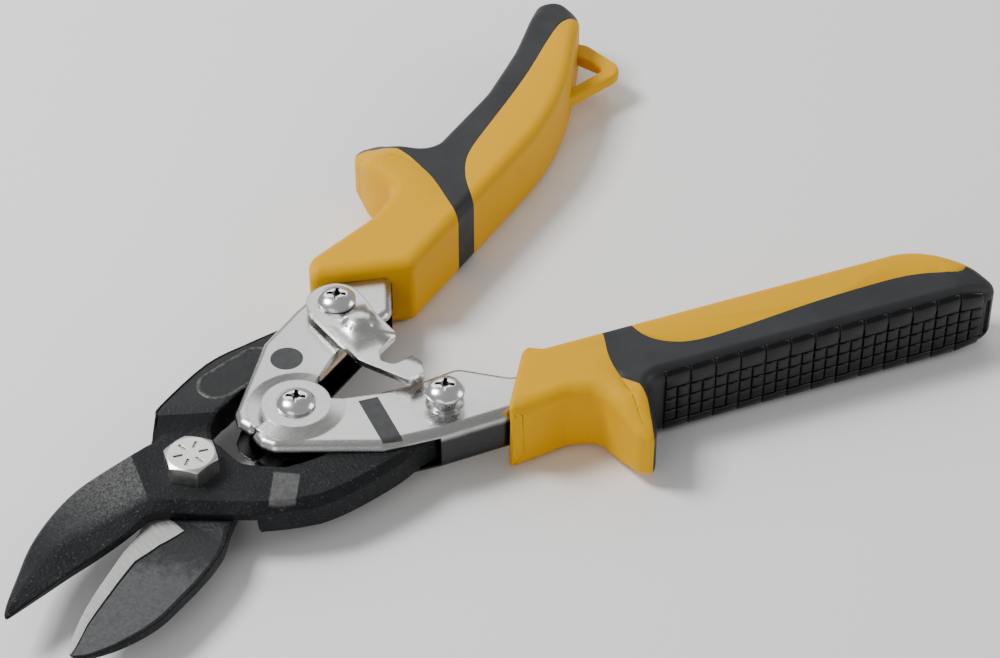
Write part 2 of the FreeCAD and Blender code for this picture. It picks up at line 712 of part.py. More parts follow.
# ---------------------------------------------------------------- grips
# Plan outlines as rounded corners (x, y, radius), from the collar's inner front
# corner past the finger guard, along the outer side, round the end and back.
RIGHT_GRIP = [
    (80.0, -21.3, 2.5), (65.3, -35.4, 2.4), (79.6, -39.0, 10.0),
    (85.6, -42.8, 5.0), (84.4, -61.8, 3.7), (92.0, -59.3, 3.7), (95.4, -46.8, 5.0),
    (186.6, -77.0, 4.6), (187.6, -64.6, 9.0), (176.8, -51.8, 16.0),
]
LEFT_GRIP = [
    (80.0, 20.2, 2.5), (57.3, 32.4, 2.0), (61.4, 38.4, 5.0), (84.5, 41.9, 22.0),
    (95.3, 47.2, 6.0), (95.0, 58.5, 25.0), (98.8, 71.2, 3.8), (106.6, 68.4, 3.8),
    (110.2, 53.2, 6.0), (138.5, 63.8, 40.0), (157.0, 74.2, 60.0), (176.4, 88.2, 4.2),
    (182.8, 86.4, 4.6), (181.6, 75.8, 12.0), (150.2, 46.2, 100.0),
]

# where the black cover starts behind the collar, and the edge of the yellow inlay
RIGHT_NECK = [(99.6, -20.0), (98.0, -29.6), (94.6, -35.1), (91.2, -44.0), (89.4, -51.0),
              (86.8, -58.8), (84.6, -70.0)]
RIGHT_INLAY = [(184.6, -65.2), (180.8, -66.4), (174.8, -63.1), (160.9, -57.1), (143.6, -52.4),
               (119.7, -46.9), (110.4, -43.0), (105.4, -35.6), (106.2, -28.0), (106.6, -20.0)]
LEFT_NECK = [(99.0, 18.0), (99.9, 27.7), (102.8, 38.1), (104.7, 48.6), (102.4, 57.4),
             (98.4, 62.6), (94.0, 72.0)]
LEFT_INLAY = [(181.4, 73.6), (177.5, 75.3), (169.1, 72.8), (154.6, 64.4), (137.9, 55.7),
              (124.6, 49.3), (116.4, 44.5), (110.2, 37.2), (106.6, 28.9), (105.4, 18.0)]


def grip_blank(prefix, corners):
    body = new_body(prefix + "_grip_blank")
    sketch = new_sketch(body, prefix + "_grip_outline")
    add_rounded(sketch, corners)
    pad(body, sketch, "Sizes.grip_height")
    height = size("grip_height")

    def on_rim(edge):
        return at_level(edge, 0) or at_level(edge, height)

    fillet(body, edges_where(body.Shape, on_rim), "Sizes.grip_edge_radius")
    return body


def prism(name, outline_runs, level, height_expression):
    """A plan outline raised to a height, kept outside any body."""
    sketch = doc.addObject("Sketcher::SketchObject", name + "_outline")
    sketch.setExpression("Placement.Base.z", level)
    add_path(sketch, outline_runs)
    doc.recompute()
    solid = doc.addObject("Part::Extrusion", name)
    solid.Base = sketch
    solid.DirMode = "Custom"
    solid.Dir = Vector(0, 0, 1)
    solid.Solid = True
    solid.setExpression("LengthFwd", height_expression)
    doc.recompute()
    return solid


def inset_prism(name, corners, level, height_expression):
    """A rounded outline, offset inwards by the core wall and raised to a height."""
    sketch = doc.addObject("Sketcher::SketchObject", name + "_outline")
    sketch.setExpression("Placement.Base.z", level)
    add_rounded(sketch, corners)
    doc.recompute()
    offset = doc.addObject("Part::Offset2D", name + "_offset")
    offset.Source = sketch
    offset.setExpression("Value", "-Sizes.core_wall")
    offset.Join = 0
    doc.recompute()
    solid = doc.addObject("Part::Extrusion", name)
    solid.Base = offset
    solid.DirMode = "Custom"
    solid.Dir = Vector(0, 0, 1)
    solid.Solid = True
    solid.setExpression("LengthFwd", height_expression)
    doc.recompute()
    return solid


def grip_zone(name, neck, inlay, side):
    """The plan area of the black cover, with height to spare."""
    runs = [neck, [(neck[-1][0], 110.0 * side), (210.0, 110.0 * side)], inlay]
    return prism(name, runs, "-1", "Sizes.grip_height + 2")


def channel_mouth(name, side):
    """The hollow that the collar leaves open between the channel's plates."""
    near = size("sheet")
    corners = [
        (60.0, web_line(60.0, near)), (88.0, web_line(88.0, near)),
        (88.0, web_line(88.0, TANG_WIDTH)), (76.0, -23.8), (60.0, -6.0)]
    points = [(x, y if side < 0 else -y) for x, y in corners]
    runs = [[points[0], points[1]], [points[2], points[3]], [points[3], points[4]]]
    level = AT_CHANNEL_BOTTOM + " + Sizes.sheet"
    return prism(name, runs, level, "Sizes.channel_height - 2 * Sizes.sheet")


def grip_cover(prefix, blank, core, zone):
    """The black cover: a skin of the blank, inside its own plan area."""
    area = boolean("Part::MultiCommon", prefix + "_cover_area", blank, zone)
    return boolean("Part::Cut", prefix + "_cover", area, core)


CORE_HEIGHT = "Sizes.grip_height - 2 * Sizes.core_wall"
right_blank = grip_blank("right", RIGHT_GRIP)
left_blank = grip_blank("left", LEFT_GRIP)
right_core = inset_prism("right_core", RIGHT_GRIP, "Sizes.core_wall", CORE_HEIGHT)
left_core = inset_prism("left_core", LEFT_GRIP, "Sizes.core_wall", CORE_HEIGHT)
right_zone = grip_zone("right_zone", RIGHT_NECK, RIGHT_INLAY, -1)
left_zone = grip_zone("left_zone", LEFT_NECK, LEFT_INLAY, 1)
right_cover = grip_cover("right", right_blank, right_core, right_zone)
left_cover = grip_cover("left", left_blank, left_core, left_zone)

# the chequered panel let into the right cover's outer side
PAD_PLAN = [[(100.6, -46.0), (100.6, -70.0)], [(183.4, -90.0), (183.4, -74.4)]]
pad_zone = prism("right_pad_zone", PAD_PLAN, "Sizes.pad_foot", "Sizes.pad_rise")
right_pad = boolean("Part::MultiCommon", "right_grip_pad", right_cover, pad_zone)
right_overmould = boolean("Part::Cut", "right_grip_overmould", right_cover, pad_zone)

# the yellow shells, moulded round the channels' tails and open between the plates
right_full = boolean("Part::Cut", "right_shell_full", right_blank, right_cover)
right_tang = boolean("Part::Cut", "right_shell_tang", right_full, right_channel)
right_mouth = channel_mouth("right_mouth", -1)
right_shell = boolean("Part::Cut", "right_grip_shell", right_tang, right_mouth)

left_full = boolean("Part::Cut", "left_shell_full", left_blank, left_cover)
left_tang = boolean("Part::Cut", "left_shell_tang", left_full, left_channel)
left_mouth = channel_mouth("left_mouth", 1)
left_bare = boolean("Part::Cut", "left_shell_bare", left_tang, left_mouth)

# a flat, V-shaped ring whose ends are buried in the left shell
LOOP_PLAN = [
    (178.0, 79.0, 1.4), (182.2, 73.6, 5.0), (182.7, 57.9, 5.0), (157.0, 56.9, 1.3),
    (159.0, 60.8, 1.3), (178.2, 62.0, 1.6), (174.8, 75.0, 1.3),
]
loop = new_body("hanging_loop")
sketch = new_sketch(loop, "loop_outline", "Sizes.loop_foot")
add_rounded(sketch, LOOP_PLAN)
pad(loop, sketch, "Sizes.loop_thickness")
loop_levels = (size("loop_foot"), size("loop_foot") + size("loop_thickness"))
loop_rims = edges_where(loop.Shape, lambda edge: any(at_level(edge, level) for level in loop_levels))
fillet(loop, loop_rims, "Sizes.loop_round")
left_overmould = boolean("Part::Cut", "left_grip_overmould", left_cover, loop)
left_shell = doc.addObject("Part::MultiFuse", "left_grip_shell")
left_shell.Shapes = [left_bare, loop]
doc.recompute()


# ---------------------------------------------------------------- check and write
NODES = [
    right_channel, left_channel, upper_blade, lower_blade, right_screw, left_screw, centre_screw,
    right_nut, left_nut, centre_nut, centre_bush, spring, pivot_bolt, pivot_washer,
    pivot_locknut, pivot_insert, latch_washer, latch, right_pad, right_overmould, right_shell,
    left_overmould, left_shell,
]
doc.recompute()
for item in doc.Objects:
    bad = [state for state in item.State if state in ("Invalid", "Error")]
    if bad:
        raise ValueError("%s is %s" % (item.Name, bad))
for node in NODES:
    if node.Shape.isNull() or not node.Shape.isValid():
        raise ValueError("%s has no valid shape" % node.Label)
    solids = len(node.Shape.Solids)
    box = node.Shape.BoundBox
    print("%-22s solids %d  volume %8.1f mm3  z %6.2f to %6.2f" % (
        node.Label, solids, node.Shape.Volume, box.ZMin, box.ZMax))
for node in NODES:
    node.Shape.exportStep("parts/%s.step" % node.Label)
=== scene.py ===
import json
import math

import bmesh
import bpy
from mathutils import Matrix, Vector


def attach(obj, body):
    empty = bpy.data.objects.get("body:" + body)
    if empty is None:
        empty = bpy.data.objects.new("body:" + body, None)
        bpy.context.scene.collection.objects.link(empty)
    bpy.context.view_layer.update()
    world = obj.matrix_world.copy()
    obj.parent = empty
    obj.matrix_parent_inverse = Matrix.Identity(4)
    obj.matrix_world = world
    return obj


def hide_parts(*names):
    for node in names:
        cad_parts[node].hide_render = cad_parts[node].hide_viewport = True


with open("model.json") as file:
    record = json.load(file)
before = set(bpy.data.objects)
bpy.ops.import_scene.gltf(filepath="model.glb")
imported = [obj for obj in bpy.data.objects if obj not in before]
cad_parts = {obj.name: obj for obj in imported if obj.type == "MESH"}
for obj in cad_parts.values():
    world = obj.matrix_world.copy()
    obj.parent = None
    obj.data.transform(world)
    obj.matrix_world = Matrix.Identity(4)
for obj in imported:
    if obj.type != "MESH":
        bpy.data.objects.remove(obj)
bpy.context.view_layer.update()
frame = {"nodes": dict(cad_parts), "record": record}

NODES = frame["nodes"]
MM = 0.001

# plan positions of the three pins, in millimetres
MAIN_PIVOT = (0.0, 0.0)
RIGHT_LINK = (57.0, -20.9)
LEFT_LINK = (57.0, 20.9)


# ------------------------------------------------------------ material helpers
# the mix node's colour sockets, which share their names with its number sockets
MIX_FIRST, MIX_SECOND, MIX_RESULT = 6, 7, 2


class Shader:
    """A small wrapper round a material's node tree."""

    def __init__(self, name, base, rough, metal=0.0, **sockets):
        self.mat = bpy.data.materials.new("look_" + name)
        self.mat.use_nodes = True
        self.tree = self.mat.node_tree
        self.bsdf = self.tree.nodes["Principled BSDF"]
        self.bsdf.inputs["Base Color"].default_value = (*base, 1.0)
        self.bsdf.inputs["Roughness"].default_value = rough
        self.bsdf.inputs["Metallic"].default_value = metal
        for key, value in sockets.items():
            self.bsdf.inputs[key.replace("_", " ")].default_value = value
        self.coord = self.node("ShaderNodeTexCoord").outputs["Object"]
        self.normal = None

    def node(self, kind, **settings):
        made = self.tree.nodes.new(kind)
        for key, value in settings.items():
            setattr(made, key, value)
        return made

    def link(self, source, target):
        self.tree.links.new(source, target)

    def stretch(self, scale, turn=(0.0, 0.0, 0.0)):
        mapping = self.node("ShaderNodeMapping")
        mapping.inputs["Scale"].default_value = scale
        mapping.inputs["Rotation"].default_value = turn
        self.link(self.coord, mapping.inputs["Vector"])
        return mapping.outputs["Vector"]

    def noise(self, scale, detail=3.0, rough=0.5, vector=None, distort=0.0):
        made = self.node("ShaderNodeTexNoise")
        made.inputs["Scale"].default_value = scale
        made.inputs["Detail"].default_value = detail
        made.inputs["Roughness"].default_value = rough
        made.inputs["Distortion"].default_value = distort
        self.link(vector or self.coord, made.inputs["Vector"])
        return made.outputs["Fac"]

    def ramp(self, value, stops):
        made = self.node("ShaderNodeValToRGB")
        elements = made.color_ramp.elements
        while len(elements) < len(stops):
            elements.new(0.5)
        for element, (place, colour) in zip(elements, stops):
            element.position = place
            if isinstance(colour, (int, float)):
                colour = (colour, colour, colour)
            element.color = (*colour, 1.0)
        self.link(value, made.inputs["Fac"])
        return made.outputs["Color"]

    def mix(self, share, first, second):
        made = self.node("ShaderNodeMix", data_type="RGBA")
        self.link(share, made.inputs["Factor"])
        for value, socket in ((first, MIX_FIRST), (second, MIX_SECOND)):
            if isinstance(value, tuple):
                made.inputs[socket].default_value = (*value, 1.0)
            else:
                self.link(value, made.inputs[socket])
        return made.outputs[MIX_RESULT]

    def maths(self, operation, first, second=None, clamp=False):
        made = self.node("ShaderNodeMath", operation=operation, use_clamp=clamp)
        for value, socket in ((first, made.inputs[0]), (second, made.inputs[1])):
            if value is None:
                continue
            if isinstance(value, (int, float)):
                socket.default_value = value
            else:
                self.link(value, socket)
        return made.outputs[0]

    def bump(self, height, distance, strength=1.0):
        made = self.node("ShaderNodeBump")
        made.inputs["Strength"].default_value = strength
        made.inputs["Distance"].default_value = distance
        self.link(height, made.inputs["Height"])
        if self.normal is not None:
            self.link(self.normal, made.inputs["Normal"])
        self.normal = made.outputs["Normal"]

    def soften(self, radius):
        """Shades the part's sharp edges as if they were rounded."""
        made = self.node("ShaderNodeBevel", samples=4)
        made.inputs["Radius"].default_value = radius
        self.normal = made.outputs["Normal"]

    def painted_hollow_shade(self, distance):
        """Low inside corners and recesses, 1 on open faces; the mask for painted shade in hollows.
        """
        made = self.node("ShaderNodeAmbientOcclusion", samples=8, only_local=True)
        made.inputs["Distance"].default_value = distance
        return made.outputs["AO"]

    def colour(self, socket):
        self.link(socket, self.bsdf.inputs["Base Color"])

    def roughness(self, socket):
        self.link(socket, self.bsdf.inputs["Roughness"])

    def done(self):
        if self.normal is not None:
            self.link(self.normal, self.bsdf.inputs["Normal"])
        return self.mat


def yellow_plastic():
    s = Shader("yellow_plastic", (0.74, 0.381, 0.0), 0.5, Specular_IOR_Level=0.1)
    cloud = s.noise(22.0, 2.0)
    s.colour(s.ramp(cloud, [(0.3, (0.73, 0.376, 0.0)), (0.7, (0.75, 0.387, 0.0))]))
    s.roughness(s.ramp(s.noise(90.0, 3.0), [(0.3, 0.44), (0.7, 0.54)]))
    s.bump(s.noise(2600.0, 2.0), 0.00002, 0.35)
    s.bump(s.noise(160.0, 2.0), 0.00006, 0.25)
    return s.done()


def black_cover():
    s = Shader("black_cover", (0.02, 0.021, 0.023), 0.46, Specular_IOR_Level=0.28)
    s.soften(0.0004)
    cloud = s.noise(60.0, 3.0)
    s.colour(s.ramp(cloud, [(0.3, (0.017, 0.018, 0.020)), (0.7, (0.026, 0.027, 0.029))]))
    s.roughness(s.ramp(s.noise(140.0, 3.0), [(0.3, 0.42), (0.7, 0.54)]))
    s.bump(s.noise(2200.0, 3.0), 0.00005, 0.5)
    return s.done()


def black_pad():
    s = Shader("black_pad", (0.004, 0.004, 0.005), 0.2, Specular_IOR_Level=0.32)
    cloud = s.noise(160.0, 2.0)
    s.colour(s.ramp(cloud, [(0.3, (0.003, 0.003, 0.004)), (0.7, (0.006, 0.006, 0.007))]))
    s.roughness(s.ramp(s.noise(300.0, 3.0), [(0.3, 0.16), (0.7, 0.3)]))
    s.bump(s.noise(600.0, 2.0), 0.00004, 0.3)
    return s.done()


# heights, in millimetres, between which the painted shade down the web fades in
WEB_SHADE_TOP = (15.4, 13.0)
WEB_SHADE_FOOT = (4.4, 5.0)


def plated_steel():
    s = Shader("plated_steel", (0.56, 0.56, 0.555), 0.3, 1.0)
    s.soften(0.0006)
    streak = s.noise(1.0, 4.0, 0.6, s.stretch((300.0, 1500.0, 900.0), (0.0, 0.0, 0.35)))
    tone = s.ramp(s.noise(35.0, 4.0), [(0.3, (0.50, 0.50, 0.495)), (0.7, (0.61, 0.61, 0.60))])
    # painted shade: the colour turns near black down the web, between the upper and the lower
    # plate, where its side faces lie in shade
    spot = Spot(s)
    shade_edge_height = s.maths("ADD", spot.z, s.maths("MULTIPLY", s.noise(260.0, 4.0), 0.8))
    web_painted_shade = spot.both(spot.rise(shade_edge_height, *WEB_SHADE_TOP), spot.rise(shade_edge_height, *WEB_SHADE_FOOT))
    s.colour(s.mix(web_painted_shade, tone, (0.045, 0.046, 0.048)))
    s.roughness(s.ramp(streak, [(0.3, 0.22), (0.75, 0.30)]))
    s.bump(s.noise(260.0, 3.0), 0.00004, 0.3)
    return s.done()


def bright_screw():
    s = Shader("bright_screw", (0.86, 0.86, 0.87), 0.14, 1.0)
    s.soften(0.00025)
    # painted shade: the base colour turns near black in the cross recess and other hollows
    s.colour(s.ramp(s.painted_hollow_shade(0.0012), [(0.45, (0.05, 0.05, 0.052)), (0.85, (0.86, 0.86, 0.87))]))
    s.roughness(s.ramp(s.noise(260.0, 3.0), [(0.3, 0.12), (0.7, 0.26)]))
    s.bump(s.noise(500.0, 3.0), 0.00003, 0.25)
    return s.done()


def zinc_steel():
    s = Shader("zinc_steel", (0.72, 0.72, 0.69), 0.32, 1.0)
    s.soften(0.0004)
    tone = s.ramp(s.noise(160.0, 4.0), [(0.3, (0.62, 0.62, 0.59)), (0.7, (0.82, 0.82, 0.79))])
    # painted shade: hollows and inside corners are darkened towards dark grey
    s.colour(s.mix(s.ramp(s.painted_hollow_shade(0.0007), [(0.55, 0.0), (0.97, 1.0)]), (0.12, 0.12, 0.115), tone))
    s.roughness(s.ramp(s.noise(320.0, 4.0), [(0.3, 0.24), (0.7, 0.40)]))
    s.bump(s.noise(650.0, 4.0), 0.00005, 0.5)
    return s.done()


def black_steel():
    s = Shader("black_steel", (0.022, 0.025, 0.027), 0.4, 0.35)
    s.soften(0.0006)
    cloud = s.noise(120.0, 5.0, 0.6)
    s.colour(s.ramp(cloud, [(0.3, (0.014, 0.016, 0.018)), (0.75, (0.034, 0.038, 0.041))]))
    s.roughness(s.ramp(s.noise(260.0, 4.0), [(0.3, 0.32), (0.7, 0.55)]))
    s.bump(s.noise(240.0, 5.0, 0.6), 0.0003, 0.6)
    return s.done()


def spring_steel():
    s = Shader("spring_steel", (0.24, 0.24, 0.25), 0.35, 1.0)
    s.roughness(s.ramp(s.noise(400.0, 3.0), [(0.3, 0.28), (0.7, 0.45)]))
    s.bump(s.noise(900.0, 2.0), 0.00003, 0.3)
    return s.done()


def bronze():
    s = Shader("bronze", (0.5, 0.33, 0.16), 0.4, 1.0)
    s.roughness(s.ramp(s.noise(300.0, 3.0), [(0.3, 0.33), (0.7, 0.5)]))
    s.bump(s.noise(700.0, 3.0), 0.00004, 0.3)
    return s.done()


def print_ink():
    s = Shader("print_ink", (0.025, 0.026, 0.028), 0.42)
    cloud = s.noise(500.0, 4.0)
    s.colour(s.ramp(cloud, [(0.3, (0.02, 0.021, 0.023)), (0.7, (0.034, 0.035, 0.037))]))
    s.roughness(s.ramp(s.noise(900.0, 3.0), [(0.3, 0.36), (0.7, 0.5)]))
    s.bump(s.noise(1500.0, 3.0), 0.00002, 0.4)
    return s.done()


def nylon():
    s = Shader("nylon", (0.7, 0.7, 0.65), 0.5)
    s.colour(s.ramp(s.noise(200.0, 3.0), [(0.3, (0.66, 0.66, 0.6)), (0.7, (0.75, 0.75, 0.7))]))
    s.bump(s.noise(900.0, 3.0), 0.00003, 0.3)
    return s.done()


class Spot:
    """Soft masks made from where a point lies, in millimetres."""

    def __init__(self, shader):
        self.s = shader
        parts = shader.node("ShaderNodeSeparateXYZ")
        shader.link(shader.stretch((1000.0, 1000.0, 1000.0)), parts.inputs[0])
        self.x, self.y, self.z = parts.outputs

    def along(self, a, b, c):
        """The value a x + b y + c."""
        s = self.s
        rest = s.maths("ADD", s.maths("MULTIPLY", self.y, b), c)
        return s.maths("ADD", s.maths("MULTIPLY", self.x, a), rest)

    def rise(self, value, low, high):
        """0 at low, 1 at high and beyond; high may be the smaller number."""
        made = self.s.node("ShaderNodeMapRange", interpolation_type="SMOOTHSTEP")
        self.s.link(value, made.inputs["Value"])
        made.inputs["From Min"].default_value = low
        made.inputs["From Max"].default_value = high
        return made.outputs["Result"]

    def both(self, first, second):
        return self.s.maths("MULTIPLY", first, second)


# lines in plan, each as (a, b, c) of a x + b y + c in millimetres
BOSS_LINE = (-1.0, 0.3456, -12.52)
JAW_RIDGE_LINE = (0.0, 1.0, 0.0)
JAW_HIGHLIGHT_FADE_LINE = (1.0, 0.25, 0.0)
PATCH_ACROSS = (0.732, -0.682, -21.76)
PATCH_ALONG = (0.717, 0.697, 4.07)
RECESS_SHADOW_LINE = (0.8, 0.6, 0.0)


def blade_steel():
    s = Shader("blade_steel", (0.012, 0.013, 0.015), 0.4, 0.0, Specular_IOR_Level=0.16)
    s.soften(0.0005)
    spot = Spot(s)
    # a painted highlight on the back of the upper jaw, with a fine grain in it: pale beside the
    # boss, fading to the tip
    jaw_painted_highlight = spot.both(spot.rise(spot.along(*BOSS_LINE), 0.0, 0.3),
                      spot.rise(spot.along(*JAW_RIDGE_LINE), -2.4, 0.6))
    jaw_painted_highlight = spot.both(jaw_painted_highlight, spot.rise(spot.along(*JAW_HIGHLIGHT_FADE_LINE), -44.0, -8.0))
    jaw_painted_highlight = spot.both(jaw_painted_highlight, spot.rise(spot.z, 12.2, 12.6))
    # painted glints: fine pale specks mixed into the colour
    painted_glints = s.ramp(s.noise(1500.0, 2.0, 0.6), [(0.62, 0.0), (0.70, 1.0)])
    cloud = s.noise(110.0, 5.0, 0.6)
    tone = s.ramp(cloud, [(0.3, (0.005, 0.006, 0.007)), (0.75, (0.012, 0.014, 0.016))])
    tone = s.mix(s.maths("MULTIPLY", painted_glints, 0.5), tone, (0.12, 0.12, 0.125))
    # the grained pale colour of the painted highlight
    grain = s.noise(1700.0, 3.0, 0.7)
    pale = s.ramp(grain, [(0.35, (0.02, 0.021, 0.022)), (0.66, (0.17, 0.17, 0.172))])
    tone = s.mix(s.maths("MULTIPLY", jaw_painted_highlight, 0.9), tone, pale)
    # a worn, satin patch where the body narrows to the tail
    side = s.maths("ABSOLUTE", spot.along(*PATCH_ACROSS))
    length = s.maths("ABSOLUTE", spot.along(*PATCH_ALONG))
    patch = spot.both(spot.rise(side, 3.15, 2.85), spot.rise(length, 5.4, 4.6))
    patch = spot.both(patch, spot.rise(spot.z, 12.4, 13.2))
    rubbed = s.noise(700.0, 4.0)
    satin = s.ramp(rubbed, [(0.35, (0.075, 0.076, 0.078)), (0.7, (0.12, 0.12, 0.122))])
    s.colour(s.mix(patch, tone, satin))
    s.roughness(s.ramp(s.noise(260.0, 4.0), [(0.3, 0.30), (0.7, 0.42)]))
    s.bump(s.noise(1300.0, 4.0, 0.65), 0.0005, 0.8)
    s.bump(s.noise(160.0, 3.0), 0.0003, 0.4)
    return s.done()


def ground_steel():
    s = Shader("ground_steel", (0.42, 0.42, 0.41), 0.34, 0.85)
    lines = s.noise(1.0, 3.0, 0.6, s.stretch((3800.0, 260.0, 260.0), (0.0, 0.0, -0.55)))
    s.colour(s.ramp(lines, [(0.3, (0.32, 0.32, 0.315)), (0.7, (0.50, 0.50, 0.49))]))
    s.roughness(s.ramp(lines, [(0.3, 0.30), (0.7, 0.46)]))
    s.bump(lines, 0.00003, 0.4)
    return s.done()


def recess_steel():
    s = Shader("recess_steel", (0.06, 0.062, 0.064), 0.42, 0.0, Specular_IOR_Level=0.3)
    spot = Spot(s)
    grain = s.noise(1200.0, 3.0, 0.6)
    tone = s.ramp(grain, [(0.3, (0.050, 0.052, 0.054)), (0.7, (0.082, 0.084, 0.087))])
    # painted shadow: the colour turns black, with a ragged edge, towards the pivot, where the upper
    # blade shades this face
    ragged = s.maths("MULTIPLY", s.noise(420.0, 4.0, 0.7), 16.0)
    near = spot.rise(s.maths("ADD", spot.along(*RECESS_SHADOW_LINE), ragged), -24.0, -14.0)
    s.colour(s.mix(near, tone, (0.012, 0.013, 0.014)))
    s.roughness(s.ramp(s.noise(420.0, 4.0), [(0.3, 0.36), (0.7, 0.5)]))
    s.bump(s.noise(1100.0, 4.0, 0.6), 0.0003, 0.6)
    return s.done()


def worn_steel():
    s = Shader("worn_steel", (0.06, 0.06, 0.062), 0.4)
    rubbed = s.noise(900.0, 4.0, 0.7)
    s.colour(s.ramp(rubbed, [(0.4, (0.010, 0.011, 0.012)), (0.62, (0.085, 0.085, 0.087))]))
    s.roughness(s.ramp(s.noise(500.0, 3.0), [(0.3, 0.3), (0.7, 0.5)]))
    s.bump(s.noise(1300.0, 3.0), 0.0002, 0.5)
    return s.done()


def cut_steel():
    s = Shader("cut_steel", (0.012, 0.013, 0.014), 0.35, 0.4)
    lines = s.noise(1.0, 4.0, 0.65, s.stretch((2600.0, 2600.0, 150.0)))
    s.colour(s.ramp(lines, [(0.3, (0.008, 0.009, 0.010)), (0.7, (0.035, 0.036, 0.038))]))
    s.roughness(s.ramp(lines, [(0.3, 0.3), (0.7, 0.5)]))
    s.bump(lines, 0.00012, 0.6)
    return s.done()


MATERIALS = {
    "yellow_plastic": yellow_plastic(), "black_cover": black_cover(), "black_pad": black_pad(),
    "plated_steel": plated_steel(), "bright_screw": bright_screw(), "zinc_steel": zinc_steel(),
    "black_steel": black_steel(), "spring_steel": spring_steel(), "bronze": bronze(),
    "nylon": nylon(), "blade_steel": blade_steel(), "ground_steel": ground_steel(),
    "recess_steel": recess_steel(), "cut_steel": cut_steel(), "print_ink": print_ink(),
    "worn_steel": worn_steel(),
}
for row in frame["record"]["subparts"]:
    node = NODES[row["node"]]
    node.data.materials.clear()
    node.data.materials.append(MATERIALS[row["material_slot"]])


# ------------------------------------------------------------ mesh helpers
def lerp(a, b, t):
    return a + (b - a) * t


def catmull(p0, p1, p2, p3, t):
    """Smooth interpolation between p1 and p2."""
    return 0.5 * ((2 * p1) + (p2 - p0) * t + (2 * p0 - 5 * p1 + 4 * p2 - p3) * t * t
                  + (3 * p1 - p0 - 3 * p2 + p3) * t ** 3)


def make_piece(name, work, body, materials, replaced=(), sharp=30.0):
    """Turns a bmesh, in millimetres, into a finished piece that rides on a body."""
    bmesh.ops.recalc_face_normals(work, faces=work.faces)
    for vert in work.verts:
        vert.co *= MM
    mesh = bpy.data.meshes.new(name)
    for face in work.faces:
        face.smooth = True
    work.to_mesh(mesh)
    work.free()
    mesh.set_sharp_from_angle(angle=math.radians(sharp))
    piece = bpy.data.objects.new(name, mesh)
    bpy.context.collection.objects.link(piece)
    for key in materials:
        mesh.materials.append(MATERIALS[key])
    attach(piece, body)
    if replaced:
        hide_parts(*replaced)
    return piece


DRILL_FROM, DRILL_TO = 5.0, 15.0


def drill(work, centre, radius):
    """Cuts a round upright hole through a bmesh and returns the new bmesh."""
    def temporary(source):
        mesh = bpy.data.meshes.new("drill_work")
        source.to_mesh(mesh)
        thing = bpy.data.objects.new("drill_work", mesh)
        bpy.context.collection.objects.link(thing)
        return thing

    cutter = bmesh.new()
    bmesh.ops.create_cone(cutter, cap_ends=True, segments=48, radius1=radius, radius2=radius,
                          depth=DRILL_TO - DRILL_FROM)
    bmesh.ops.translate(cutter, verts=cutter.verts, vec=(*centre, (DRILL_FROM + DRILL_TO) / 2))
    blank, tool = temporary(work), temporary(cutter)
    step = blank.modifiers.new("hole", "BOOLEAN")
    step.operation = "DIFFERENCE"
    step.solver = "EXACT"
    step.object = tool
    graph = bpy.context.evaluated_depsgraph_get()
    result = bmesh.new()
    result.from_object(blank, graph)
    for thing in (blank, tool):
        mesh = thing.data
        bpy.data.objects.remove(thing)
        bpy.data.meshes.remove(mesh)
    work.free()
    cutter.free()
    return result


# ------------------------------------------------------------ blades
# material places of a blade's faces; 0 is the forged finish
GROUND, RECESS, CUT = 1, 2, 3
RECESS_DEPTH = 0.28
EDGE_BREAK = 0.25
BACK_ROUND = 0.9
RIM_WIDTH = 0.75
# the cut edge's own finish ends here, in x, where the jaws meet the boss
JAW_START = -12.0
LOFT_STEPS = 4
BLADE_MIDDLE = 10.0
BLADE_TOP = 13.9
BOLT_HOLE = 4.0
BOLT_CLEARANCE_HOLE = 4.4
LINK_HOLE = 3.05


def blade_ring(station):
    """One section across a blade, from its cutting side over the back and home.

    A station holds the back point and the edge point in plan, the ridge's place
    between them, the heights at back, ridge and edge, the lower level, and the
    ground land's width as a share of the section.
    """
    ox, oy, ex, ey, ridge, back_z, ridge_z, edge_z, low, land = station
    across = Vector((ox - ex, oy - ey, 0))
    width = across.length
    start = Vector((ex, ey, 0))
    ring = []

    def put(share, height, tag):
        ring.append((start + across * share + Vector((0, 0, height)), tag))

    def top(share):
        if share < ridge:
            return lerp(edge_z, ridge_z, share / ridge)
        return lerp(ridge_z, back_z, (share - ridge) / (1 - ridge))

    nick = min(EDGE_BREAK / width, 0.2)
    for share in (0.0, 0.1, 0.4, 0.8, 1.0):
        share = nick + (ridge - nick) * share
        put(share, top(share), 0)
    rounding = min(BACK_ROUND, width * 0.2, (back_z - low) * 0.5)
    reach = rounding / width
    for share in (0.06, 0.3, 0.55, 0.8, 1.0):
        share = lerp(ridge, 1 - reach, share)
        put(share, top(share), 0)
    for turn in (30, 60, 90):
        angle = math.radians(turn)
        put(1 - reach * (1 - math.sin(angle)), back_z - rounding * (1 - math.cos(angle)), 0)
    put(1.0, low + EDGE_BREAK, 0)
    put(1 - min(EDGE_BREAK / width, 0.1), low, 0)
    rim = max(1 - RIM_WIDTH / width, 0.8)
    sink = RECESS_DEPTH if land > 0 else 0.0
    put(rim, low, 0)
    put(lerp(rim, land, 0.03), low + sink, RECESS)
    put(lerp(rim, land, 0.5), low + sink, RECESS)
    put(lerp(rim, land, 0.97), low + sink, RECESS)
    ground = GROUND if land > 0 else 0
    wall = CUT if ex < JAW_START else 0
    land = max(land, 0.05)
    put(land, low, ground)
    put(0.2 * land, low, ground)
    put(0.0, low + 0.05, ground or wall)
    put(0.0, max(top(nick) - 0.3, low + 0.12), wall)
    return ring


